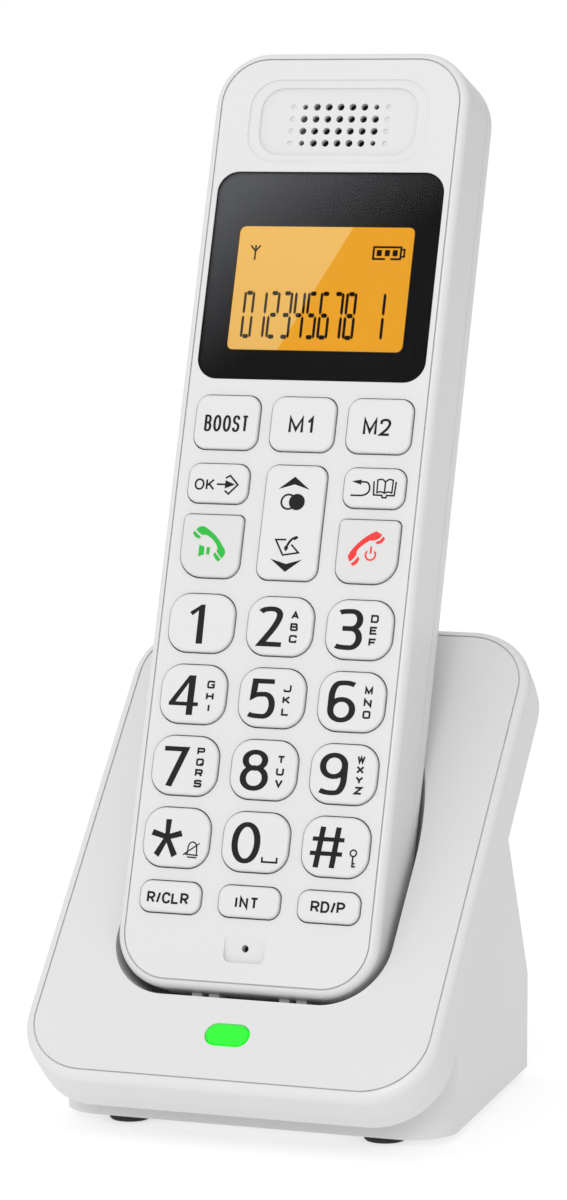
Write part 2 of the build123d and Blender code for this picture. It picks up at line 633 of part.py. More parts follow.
def deck_outline(inset):
    """The deck's outline, inset all round."""
    outline(RIM_HALF - inset, RIM_LOW + inset, RIM_HIGH - inset, RIM_CORNER - inset)


with BuildPart() as cradle_top_shell:
    with BuildSketch(DECK):
        deck_outline(0)
    extrude(amount=-SLAB)
    fillet(cradle_top_shell.faces().sort_by(OUT_OF_DECK)[-1].edges(), radius=RIM_EDGE)
    with BuildSketch(DECK.offset(-DECK_WALL)):
        deck_outline(DECK_WALL)
    extrude(amount=-SLAB, mode=Mode.SUBTRACT)
    with BuildSketch(DECK):
        deck_outline(RIM_LINE - 0.15)
        with Locations((0, (RIM_LOW + RIM_HIGH) / 2)):
            RectangleRounded(2 * (RIM_HALF - RIM_LINE - 0.15),
                             RIM_HIGH - RIM_LOW - 2 * (RIM_LINE + 0.15),
                             RIM_CORNER - RIM_LINE - 0.15, mode=Mode.SUBTRACT)
    extrude(amount=-0.4, mode=Mode.SUBTRACT)
    add(POCKET_WELL)
    with BuildSketch(Plane.XY.offset(BASE_BOSS_Z)):
        with Locations(*BASE_SCREWS):
            Circle(BOSS_RADIUS)
    extrude(amount=9)
    add(POCKET_ROOM, mode=Mode.SUBTRACT)
    with BuildSketch(Plane.XY.offset(BASE_BOSS_Z)):
        with Locations(*BASE_SCREWS):
            Circle(SCREW_RADIUS)
    extrude(amount=5.5, mode=Mode.SUBTRACT)
    with BuildSketch(DECK.offset(-DECK_WALL / 2)):
        with Locations(*BACK_SCREWS):
            Circle(BOSS_RADIUS)
    extrude(amount=-SLAB + DECK_WALL / 2)
    with BuildSketch(DECK.offset(-DECK_WALL - 0.6)):
        with Locations(*BACK_SCREWS):
            Circle(SCREW_RADIUS)
    extrude(amount=-SLAB, mode=Mode.SUBTRACT)
    with BuildSketch(DECK):
        with Locations((0, LAMP_T)):
            SlotOverall(LAMP_WIDTH, LAMP_HEIGHT)
    extrude(amount=-DECK_WALL - 0.5, mode=Mode.SUBTRACT)
    with BuildSketch(up_the_face(0, WELL_FLOOR_V - 0.2, RIB_W)):
        with Locations(*[(u + side * RIB_OFFSET, 0) for u, _ in CONTACTS for side in (-1, 1)]):
            Rectangle(RIB_WIDTH, RIB_LENGTH)
    extrude(amount=POCKET_END_GAP + 0.15)
    with BuildSketch(up_the_face(0, WELL_FLOOR_V + 1, CONTACT_W)):
        with Locations(*CONTACTS):
            Circle(PIN_RADIUS + 0.07)
    extrude(amount=-POCKET_WALL - 2, mode=Mode.SUBTRACT)
save(cradle_top_shell, "cradle_top_shell")

# ---- base: lower shell, with its flange under the deck, floor, sockets' openings and posts ---
UNDER_DECK = DECK.offset(-SLAB - SEAM)
HOUSE_BELOW = split(HOUSE_OUTSIDE, bisect_by=UNDER_DECK, keep=Keep.BOTTOM)
WELL_CLEARANCE = pocket_block(POCKET_WALL + 0.12)
FLOOR_Z = HOUSE_BOTTOM + DECK_WALL
BOARD_FRONT_Y, BOARD_BACK_Y = FACE_Y + 1.0, HOUSE_BACK - 3.5
BOARD_POSTS = [(x, y) for x in (-22, 22) for y in (BOARD_FRONT_Y + 4, BOARD_BACK_Y - 16)]
SOCKET_Z = BOARD_Z + BOARD_THICKNESS + 0.1 + 2.0 + SOCKET_HEIGHT / 2  # middle of the line socket
BACK_FACE = Plane(origin=(0, HOUSE_BACK, 0), x_dir=(-1, 0, 0), z_dir=(0, 1, 0))
with BuildPart() as lower_flange:
    with BuildSketch(UNDER_DECK):
        deck_outline(0.15)
    extrude(amount=-FLANGE_THICKNESS)
    fillet(lower_flange.faces().sort_by(OUT_OF_DECK)[0].edges(), radius=FLANGE_EDGE)
    with BuildSketch(UNDER_DECK):
        deck_outline(DECK_WALL)
        with Locations(*BACK_SCREWS):
            Circle(BOSS_RADIUS + 0.6, mode=Mode.SUBTRACT)
    extrude(amount=FLANGE_FLOOR - FLANGE_THICKNESS, mode=Mode.SUBTRACT)

with BuildPart() as base_lower_shell:
    add(HOUSE_BELOW)
    add(lower_flange)
    add(HOUSE_INSIDE, mode=Mode.SUBTRACT)
    add(WELL_CLEARANCE, mode=Mode.SUBTRACT)
    with BuildSketch(Plane.XY.offset(FLOOR_Z - 0.5)):
        with Locations(*BASE_SCREWS):
            Circle(BOSS_RADIUS + 0.6)
    extrude(amount=BASE_BOSS_Z - 0.05 - FLOOR_Z + 0.5)
    with BuildSketch(Plane.XY.offset(FLOOR_Z - 0.5)):
        with Locations(*BOARD_POSTS):
            Circle(2.0)
    extrude(amount=BOARD_Z - 0.05 - FLOOR_Z + 0.5)
    with BuildSketch(Plane.XY):
        with Locations(*BASE_SCREWS):
            Circle(SCREW_RADIUS + 0.1)
    extrude(amount=BASE_BOSS_Z + 1, mode=Mode.SUBTRACT)
    with BuildSketch(Plane.XY):
        with Locations(*BASE_SCREWS):
            Circle(HEAD_RADIUS + 0.15)
    extrude(amount=BASE_SEAT_Z, mode=Mode.SUBTRACT)
    with BuildSketch(Plane.XY):
        with Locations(*FOOT_PLACES):
            Circle(FOOT_RADIUS + 0.1)
    extrude(amount=HOUSE_BOTTOM + FOOT_RECESS, mode=Mode.SUBTRACT)
    with BuildSketch(UNDER_DECK):
        with Locations(*BACK_SCREWS):
            Circle(SCREW_RADIUS + 0.1)
    extrude(amount=-SLAB, mode=Mode.SUBTRACT)
    with BuildSketch(BACK_FACE):
        with Locations((-JACK_X, JACK_Z)):
            Circle(JACK_RADIUS + 0.6)
        with Locations((-SOCKET_X, SOCKET_Z - 1)):
            RectangleRounded(SOCKET_WIDTH + 1.0, SOCKET_HEIGHT + 3.0, 0.6)
    extrude(amount=-DECK_WALL - 0.5, mode=Mode.SUBTRACT)
save(base_lower_shell, "base_lower_shell")

with BuildPart() as rubber_feet:
    with BuildSketch(Plane.XY.offset(HOUSE_BOTTOM + FOOT_RECESS - 0.02)):
        with Locations(*FOOT_PLACES):
            Circle(FOOT_RADIUS)
    extrude(amount=-(HOUSE_BOTTOM + FOOT_RECESS - 0.02))
    chamfer(rubber_feet.faces().group_by(Axis.Z)[0].edges(), length=0.3)
save(rubber_feet, "rubber_feet")

# ---- charge lamp: green window, light-emitting diode and its small board -------------------
with BuildPart() as indicator_lens:
    with BuildSketch(DECK.offset(0.15)):
        with Locations((0, LAMP_T)):
            SlotOverall(LAMP_WIDTH - 2 * LAMP_GAP, LAMP_HEIGHT - 2 * LAMP_GAP)
    extrude(amount=-DECK_WALL - 0.25)
    fillet(indicator_lens.faces().sort_by(OUT_OF_DECK)[-1].edges(), radius=0.3)
    with BuildSketch(DECK.offset(-DECK_WALL - 0.05)):
        with Locations((0, LAMP_T)):
            SlotOverall(LAMP_WIDTH + 1.6, LAMP_HEIGHT + 1.6)
    extrude(amount=-0.7)
save(indicator_lens, "indicator_lens")

with BuildPart() as indicator_led:
    with BuildSketch(DECK.offset(-4.6)):
        with Locations((0, LAMP_T)):
            Rectangle(3.2, 1.6)
    extrude(amount=1.2)
save(indicator_led, "indicator_led")

with BuildPart() as indicator_board:
    with BuildSketch(DECK.offset(-4.65)):
        with Locations((0, LAMP_T)):
            Rectangle(14, 8)
    extrude(amount=-1.0)
save(indicator_board, "indicator_board")

# ---- charging pins, their springs and the holder under the pocket --------------------------
HOLDER_TOP_V = WELL_FLOOR_V - POCKET_WALL - 0.05
HOLDER_HEIGHT, HOLDER_FLOOR = 5.9, 0.8
COLLAR_HEIGHT, TAIL_RADIUS = 0.8, 0.4
TIP_V = FOOT_V - 0.05
COLLAR_V = HOLDER_TOP_V - 0.1
with BuildPart() as pin_holder:
    with BuildSketch(up_the_face(0, HOLDER_TOP_V, CONTACT_W)):
        RectangleRounded(24.4, 4.2, 0.8)
    extrude(amount=-HOLDER_HEIGHT)
    with BuildSketch(up_the_face(0, HOLDER_TOP_V, CONTACT_W)):
        with Locations(*CONTACTS):
            Circle(PIN_BORE)
    extrude(amount=-HOLDER_HEIGHT + HOLDER_FLOOR, mode=Mode.SUBTRACT)
save(pin_holder, "pin_holder")

SPRING_HEIGHT = HOLDER_HEIGHT - HOLDER_FLOOR - 0.1 - COLLAR_HEIGHT
PIN_WIRE = 0.2
for side, word in ((-1, "left"), (1, "right")):
    with BuildPart() as charge_pin:
        with BuildSketch(up_the_face(side * CONTACT_U, COLLAR_V, CONTACT_W)):
            Circle(PIN_RADIUS)
        extrude(amount=TIP_V - COLLAR_V)
        fillet(charge_pin.faces().sort_by(UP_FACE)[-1].edges(), radius=0.35)
        with BuildSketch(up_the_face(side * CONTACT_U, COLLAR_V, CONTACT_W)):
            Circle(PIN_COLLAR)
        extrude(amount=-COLLAR_HEIGHT)
        with BuildSketch(up_the_face(side * CONTACT_U, COLLAR_V - COLLAR_HEIGHT, CONTACT_W)):
            Circle(TAIL_RADIUS)
        extrude(amount=-2.2)
    save(charge_pin, f"charge_pin_{word}")
    spring_foot = up_the_face(side * CONTACT_U, COLLAR_V - COLLAR_HEIGHT - SPRING_HEIGHT, CONTACT_W)
    spring_coil = coil(spring_foot.offset(PIN_WIRE + 0.02), SPRING_HEIGHT - 2 * PIN_WIRE - 0.04,
                       0.85, PIN_WIRE, 4)
    with BuildPart() as pin_spring:
        add(spring_coil)
    save(pin_spring, f"pin_spring_{word}")

# ---- base board, power jack and line socket ------------------------------------------------
BOARD_TOP = BOARD_Z + BOARD_THICKNESS
INNER_Y = HOUSE_BACK - DECK_WALL - 0.05
with BuildPart() as base_board:
    with BuildSketch(Plane.XY.offset(BOARD_Z)):
        with Locations((0, (BOARD_FRONT_Y + BOARD_BACK_Y) / 2)):
            RectangleRounded(54, BOARD_BACK_Y - BOARD_FRONT_Y, 2)
    extrude(amount=BOARD_THICKNESS)
    for x, y, wide, deep, high in ((-4, 10, 16, 16, 2.4), (16, 8, 10, 8, 1.6), (-20, 12, 7, 12, 3.0),
                                   (0, 26, 8, 6, 2.0)):
        with BuildSketch(Plane.XY.offset(BOARD_TOP)):
            with Locations((x, BOARD_FRONT_Y + y)):
                Rectangle(wide, deep)
        extrude(amount=high)
save(base_board, "base_board")

with BuildPart() as dc_jack:
    with BuildSketch(BACK_FACE.offset(-DECK_WALL - 0.05)):
        with Locations((-JACK_X, (BOARD_TOP + 0.05 + JACK_Z + 4.8) / 2)):
            Rectangle(9.6, JACK_Z + 4.8 - BOARD_TOP - 0.05)
    extrude(amount=-11)
    with BuildSketch(BACK_FACE):
        with Locations((-JACK_X, JACK_Z)):
            Circle(JACK_RADIUS)
    extrude(amount=-DECK_WALL - 9.5, mode=Mode.SUBTRACT)
save(dc_jack, "dc_jack")

with BuildPart() as dc_jack_pin:
    with BuildSketch(BACK_FACE.offset(-DECK_WALL - 9.5)):
        with Locations((-JACK_X, JACK_Z)):
            Circle(0.95)
    extrude(amount=8.0)
    fillet(dc_jack_pin.faces().sort_by(Axis.Y)[-1].edges(), radius=0.4)
save(dc_jack_pin, "dc_jack_pin")

with BuildPart() as line_socket:
    with BuildSketch(BACK_FACE.offset(-DECK_WALL - 0.05)):
        with Locations((-SOCKET_X, (BOARD_TOP + 0.05 + SOCKET_Z + SOCKET_HEIGHT / 2 + 1) / 2)):
            Rectangle(13.4, SOCKET_Z + SOCKET_HEIGHT / 2 + 1 - BOARD_TOP - 0.05)
    extrude(amount=-SOCKET_DEPTH - 2)
    with BuildSketch(BACK_FACE):
        with Locations((-SOCKET_X, SOCKET_Z)):
            Rectangle(SOCKET_WIDTH, SOCKET_HEIGHT)
        with Locations((-SOCKET_X, SOCKET_Z - SOCKET_HEIGHT / 2)):
            Rectangle(3.6, 2.6)
    extrude(amount=-DECK_WALL - SOCKET_DEPTH, mode=Mode.SUBTRACT)
save(line_socket, "line_socket")

WIRE_PITCH = 1.02
with BuildPart() as line_socket_contacts:
    for step in range(4):
        wire_x = SOCKET_X + (step - 1.5) * WIRE_PITCH
        with BuildSketch(Plane(origin=(wire_x, 0, 0), x_dir=(0, 1, 0), z_dir=(1, 0, 0))):
            with BuildLine():
                top = SOCKET_Z + SOCKET_HEIGHT / 2 - 0.05
                Polyline((INNER_Y - 2.0, top), (INNER_Y - 2.0, top - 0.4),
                         (INNER_Y - SOCKET_DEPTH + 2.5, top - 2.2),
                         (INNER_Y - SOCKET_DEPTH + 2.5, top - 1.8), close=True)
            make_face()
        extrude(amount=0.2, both=True)
save(line_socket_contacts, "line_socket_contacts")

# ---- base screws: two up through the floor, two through the flange behind the deck ---------
FLOOR_SCREWS = screws(Plane.XY.offset(BASE_SEAT_Z), BASE_SCREWS, 12.0)
FLANGE_SCREWS = screws(UNDER_DECK.offset(-FLANGE_THICKNESS), BACK_SCREWS, FLANGE_THICKNESS + 3.9)
with BuildPart() as base_screws:
    add(FLOOR_SCREWS)
    add(FLANGE_SCREWS)
save(base_screws, "base_screws")
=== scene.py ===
"""Looks of the cordless phone on its charging base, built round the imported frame.

Every CAD node keeps its shape and gets a finish. The prints on the keys and the signs on the
display are new pieces: thin solids, drawn in millimetres from the middle of the key or panel that
carries them.
"""

import json
import math

import bmesh
import bpy
from mathutils import Matrix, Vector
from mathutils.geometry import interpolate_bezier, tessellate_polygon


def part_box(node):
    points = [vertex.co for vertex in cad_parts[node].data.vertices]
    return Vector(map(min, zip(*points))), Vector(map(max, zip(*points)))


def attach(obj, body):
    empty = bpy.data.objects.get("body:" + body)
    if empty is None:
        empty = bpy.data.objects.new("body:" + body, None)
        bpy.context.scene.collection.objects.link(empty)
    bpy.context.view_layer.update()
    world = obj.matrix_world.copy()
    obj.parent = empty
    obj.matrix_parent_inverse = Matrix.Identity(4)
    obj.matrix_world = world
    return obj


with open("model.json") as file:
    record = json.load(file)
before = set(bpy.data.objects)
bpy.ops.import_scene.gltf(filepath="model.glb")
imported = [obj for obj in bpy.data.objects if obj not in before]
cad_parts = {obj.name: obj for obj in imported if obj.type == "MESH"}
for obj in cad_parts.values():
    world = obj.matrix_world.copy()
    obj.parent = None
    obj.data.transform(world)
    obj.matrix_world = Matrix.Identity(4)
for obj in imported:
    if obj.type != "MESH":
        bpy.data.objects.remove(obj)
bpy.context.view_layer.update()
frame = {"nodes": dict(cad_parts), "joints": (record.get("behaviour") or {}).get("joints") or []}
NODES = frame["nodes"]
MM = 0.001

# ---------------------------------------------------------------- directions
AXES = {joint["name"]: Vector(joint["axis"]).normalized() for joint in frame["joints"]}
UP = AXES["handset_lift"]  # up the handset's front
OUT = -AXES["key_5_press"]  # out of the handset's front
RIGHT = UP.cross(OUT)


def front_of(node):
    """A node's front as a place: origin in its middle, x right, y up the handset, z out of it."""
    points = [v.co for v in NODES[node].data.vertices]
    reach = [[p.dot(axis) for p in points] for axis in (RIGHT, UP, OUT)]
    middle = [(min(r) + max(r)) / 2 for r in reach]
    origin = RIGHT * middle[0] + UP * middle[1] + OUT * max(reach[2])
    turn = Matrix((RIGHT, UP, OUT)).transposed().to_4x4()
    return Matrix.Translation(origin) @ turn


# ----------------------------------------------------------------- materials
def tone(red, green, blue):
    """The linear colour of an 8-bit display colour."""
    return tuple(
        (c / 255 / 12.92 if c <= 10 else ((c / 255 + 0.055) / 1.055) ** 2.4)
        for c in (red, green, blue)
    )


def scaled(colour, by):
    return tuple(min(1.0, c * by) for c in colour)


class Nodes:
    """A material's node tree, with short calls to add and join nodes."""

    def __init__(self, name):
        self.material = bpy.data.materials.new(name)
        self.material.use_nodes = True
        self.tree = self.material.node_tree
        self.shader = self.tree.nodes["Principled BSDF"]
        self.place = self.add("ShaderNodeTexCoord").outputs["Object"]

    def add(self, kind, inputs=(), **settings):
        node = self.tree.nodes.new(kind)
        for key, value in settings.items():
            setattr(node, key, value)
        for key, value in dict(inputs).items():
            if isinstance(value, bpy.types.NodeSocket):
                self.tree.links.new(value, node.inputs[key])
            else:
                node.inputs[key].default_value = value
        return node

    def set(self, **values):
        """Sets the shader's own sockets. An underscore stands for a space."""
        for key, value in values.items():
            socket = self.shader.inputs[key.replace("_", " ")]
            if isinstance(value, bpy.types.NodeSocket):
                self.tree.links.new(value, socket)
            elif hasattr(value, "__len__") and len(value) == 3 and socket.type == "RGBA":
                socket.default_value = (*value, 1.0)
            else:
                socket.default_value = value

    def noise(self, scale, detail=2.0, vector=None):
        found = self.add(
            "ShaderNodeTexNoise",
            {"Vector": vector or self.place, "Scale": scale, "Detail": detail},
        )
        return found.outputs["Fac"]

    def ramp(self, value, low, high, start=0.0, end=1.0):
        """value from start..end mapped to low..high."""
        found = self.add(
            "ShaderNodeMapRange",
            {"Value": value, "From Min": start, "From Max": end, "To Min": low, "To Max": high},
        )
        return found.outputs["Result"]

    def blend(self, share, first, second):
        """The first colour turning into the second as share goes from 0 to 1."""
        found = self.add("ShaderNodeMix", data_type="RGBA")
        for index, value in ((0, share), (6, first), (7, second)):
            if isinstance(value, bpy.types.NodeSocket):
                self.tree.links.new(value, found.inputs[index])
            else:
                found.inputs[index].default_value = (*value, 1.0) if index else value
        return found.outputs[2]

    def beyond(self, point, direction, blur):
        """0 before the plane through point, 1 beyond it, over a band of this width in metres."""
        side = self.add(
            "ShaderNodeVectorMath",
            {0: self.place, 1: tuple(direction)},
            operation="DOT_PRODUCT",
        )
        middle = Vector(point).dot(Vector(direction))
        return self.ramp(side.outputs["Value"], 0, 1, middle - blur / 2, middle + blur / 2)

    def bump(self, height, depth, strength=0.5):
        found = self.add(
            "ShaderNodeBump",
            {"Height": height, "Distance": depth, "Strength": strength},
        )
        self.tree.links.new(found.outputs["Normal"], self.shader.inputs["Normal"])


def moulded(name, colour, roughness=0.4, grain=5200, depth=6e-6, uneven=0.03, **more):
    """Moulded plastic or rubber: nearly even colour, a fine cast grain and a slightly varying finish."""
    n = Nodes(name)
    cloud = n.ramp(n.noise(38, 3), 0, 1, 0.3, 0.7)
    fine = n.noise(grain, 2)
    n.set(
        Base_Color=n.blend(cloud, scaled(colour, 1 - uneven), scaled(colour, 1 + uneven)),
        Roughness=n.ramp(fine, roughness - 0.05, roughness + 0.07, 0.3, 0.7),
        **more,
    )
    n.bump(fine, depth)
    return n.material


def metal(name, colour, roughness=0.25, stretch=(1, 1, 30)):
    """Plated or turned metal, with a faint drawn grain and tarnish in patches."""
    n = Nodes(name)
    long = n.add("ShaderNodeMapping", {"Vector": n.place, "Scale": stretch})
    lines = n.noise(900, 4, long.outputs["Vector"])
    patches = n.ramp(n.noise(260, 4), 0, 1, 0.35, 0.75)
    n.set(
        Base_Color=n.blend(patches, colour, scaled(colour, 0.78)),
        Metallic=1.0,
        Roughness=n.ramp(lines, roughness - 0.08, roughness + 0.14, 0.3, 0.7),
    )
    n.bump(lines, 4e-6)
    return n.material


def circuit_board(name):
    """Green lacquer over copper tracks that show as a slightly raised, lighter net."""
    n = Nodes(name)
    cells = n.add(
        "ShaderNodeTexVoronoi",
        {"Vector": n.place, "Scale": 420.0},
        feature="DISTANCE_TO_EDGE",
    )
    track = n.ramp(cells.outputs["Distance"], 1, 0, 0.04, 0.09)
    n.set(
        Base_Color=n.blend(track, tone(20, 92, 52), tone(48, 140, 78)),
        Roughness=0.32,
    )
    n.bump(track, 1.5e-5, 0.4)
    return n.material


def cell_wrap(name):
    """The shrunk jacket of a rechargeable cell: two tones with a pale band between, slightly wavy."""
    n = Nodes(name)
    lo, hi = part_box("battery_cells")
    band_from, band_width, edge = 6 * MM, 1.2 * MM, 0.2 * MM
    start = (lo + hi) / 2 + UP * band_from
    past_start = n.beyond(start, UP, edge)
    past_end = n.beyond(start + UP * band_width, UP, edge)
    lower = n.blend(past_start, tone(30, 122, 146), tone(225, 228, 230))
    colours = n.blend(past_end, lower, tone(24, 96, 118))
    fine = n.noise(700, 3)
    n.set(Base_Color=colours, Roughness=n.ramp(fine, 0.22, 0.4, 0.3, 0.7))
    n.bump(fine, 3e-5, 0.4)
    return n.material


# The display's glare: a lighter part left of a slanting line across the window.
PANEL = front_of("lcd_panel")
GLARE_TOP, GLARE_FOOT = (4.4, 11.6), (-7.7, -11.7)  # mm from the panel's middle
GLARE_LINE = Vector((GLARE_TOP[0] - GLARE_FOOT[0], GLARE_TOP[1] - GLARE_FOOT[1], 0)).normalized()
GLARE_AT = PANEL @ Vector((GLARE_TOP[0] * MM, GLARE_TOP[1] * MM, 0))
GLARE_SIDE = PANEL.to_3x3() @ Vector((-GLARE_LINE.y, GLARE_LINE.x, 0))  # towards the lighter part


def backlit(name, plain, glared, glow):
    """A surface of the display, in two tones either side of the glare's edge, glowing by this share."""
    n = Nodes(name)
    edge, fade = 0.12 * MM, 30 * MM
    light = n.beyond(GLARE_AT, GLARE_SIDE, edge)
    # The lighter part is painted brighter near the top and darker towards the foot: painted glare and
    # painted shade.
    fall = n.beyond(PANEL.translation, -UP, fade)
    shade = n.blend(fall, scaled(glared, 1.03), scaled(glared, 0.94))
    colour = n.blend(light, plain, shade)
    n.set(
        Base_Color=n.blend(glow, colour, (0.0, 0.0, 0.0)),
        Roughness=n.ramp(n.noise(3000, 1), 0.5, 0.65),
        Specular_IOR_Level=0.05,
        Emission_Color=colour,
        Emission_Strength=glow,
    )
    return n.material


def dark_mask(name):
    """Black print behind the lens, greyer towards its upper left, where the light falls on it."""
    n = Nodes(name)
    lo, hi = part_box("display_mask")
    upper_left = Vector((-0.62, 0, 0)) + UP * 0.78
    off_middle, fade, bend = 10 * MM, 28 * MM, 1.3
    near = n.beyond((lo + hi) / 2 + upper_left * off_middle, upper_left, fade)
    soft = n.add("ShaderNodeMath", {0: near, 1: bend}, operation="POWER").outputs[0]
    n.set(
        Base_Color=n.blend(soft, tone(7, 6, 8), tone(95, 95, 97)),
        Roughness=n.ramp(n.noise(1500, 2), 0.3, 0.36),
        Specular_IOR_Level=0.05,
    )
    return n.material


def clear_lens(name):
    """A thin clear window, coated against glare: its face mirrors a little, more at a slant."""
    n = Nodes(name)
    gloss = n.add("ShaderNodeBsdfGlossy", {"Roughness": 0.04, "Color": (0.3, 0.3, 0.3, 1)})
    clear = n.add("ShaderNodeBsdfTransparent", {"Color": (0.97, 0.975, 0.98, 1)})
    slant = n.add("ShaderNodeFresnel", {"IOR": 1.22})
    layers = {0: slant.outputs[0], 1: clear.outputs[0], 2: gloss.outputs[0]}
    both = n.add("ShaderNodeMixShader", layers)
    n.tree.links.new(both.outputs[0], n.tree.nodes["Material Output"].inputs["Surface"])
    return n.material


def lit_lamp(name):
    """The lit green window, brightest over the light behind it."""
    n = Nodes(name)
    lo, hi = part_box("indicator_lens")
    middle = tuple((lo + hi) / 2)
    away = n.add("ShaderNodeVectorMath", {0: n.place, 1: middle}, operation="DISTANCE")
    bright_to, dim_from = 1.0 * MM, 4.6 * MM
    share = n.ramp(away.outputs["Value"], 0, 1, bright_to, dim_from)
    colour = n.blend(share, tone(28, 255, 40), tone(20, 240, 34))
    n.set(
        Base_Color=scaled(tone(10, 200, 30), 0.3),
        Roughness=n.ramp(n.noise(1200, 2), 0.2, 0.3),
        Emission_Color=colour,
        Emission_Strength=0.85,
    )
    return n.material


SHELL = KEY = (0.635, 0.635, 0.64)
KEY_PALE = (0.61, 0.61, 0.605)
FINISH = {
    "shell_white": moulded("shell_white", SHELL, 0.36, uneven=0.006),
    "key_white": moulded("key_white", KEY, 0.42, uneven=0.006),
    "key_pale": moulded("key_pale", KEY_PALE, 0.42, uneven=0.008),
    "lens_clear": clear_lens("lens_clear"),
    "mask_black": dark_mask("mask_black"),
    "display_amber": backlit("display_amber", tone(242, 166, 38), tone(248, 194, 104), 1.0),
    "diffuser_white": moulded("diffuser_white", (0.8, 0.78, 0.7), 0.6),
    "silicone_grey": moulded("silicone_grey", (0.42, 0.42, 0.43), 0.7, depth=2e-5, uneven=0.05),
    "board_green": circuit_board("board_green"),
    "plastic_black": moulded("plastic_black", (0.02, 0.02, 0.021), 0.5, depth=1.5e-5, uneven=0.15),
    "cell_jacket": cell_wrap("cell_jacket"),
    "nickel": metal("nickel", (0.74, 0.72, 0.68), 0.24),
    "contact_brass": metal("contact_brass", (0.80, 0.60, 0.26), 0.28),
    "screw_steel": metal("screw_steel", (0.55, 0.55, 0.56), 0.34, (20, 20, 1)),
    "foot_rubber": moulded("foot_rubber", (0.012, 0.012, 0.012), 0.75, 2600, 3e-5, 0.3),
    "lamp_green": lit_lamp("lamp_green"),
    "led_clear": moulded("led_clear", (0.9, 0.9, 0.8), 0.2),
}
for node in NODES.values():
    for index, held in enumerate(node.data.materials):
        node.data.materials[index] = FINISH[held.name.split(".")[0]]

INK = moulded("ink_black", tone(26, 24, 27), 0.55, 3000, 4e-6, 0.12, Specular_IOR_Level=0.15)
INK_GREEN = moulded("ink_green", tone(8, 172, 44), 0.5, 3000, 4e-6, 0.06)
INK_RED = moulded("ink_red", tone(228, 36, 32), 0.5, 3000, 4e-6, 0.06)
SIGN = backlit("display_sign", tone(22, 12, 8), tone(72, 66, 56), 0.0)

# ------------------------------------------------------------------ drawing
SUNK, PROUD = 0.01, 0.025  # mm that a print reaches below and above the surface
LAYER = 0.004  # mm from one stroke to the next, so that none lies in another's plane
EASE = 0.58  # how full a round corner is; 0.55 is an oval's
CURVE_STEPS = 10
MITRE = 0.35  # keeps the outer corner of a sharp turn short
SAME_PLACE = 1e-5  # points of a stroke nearer than this are one point


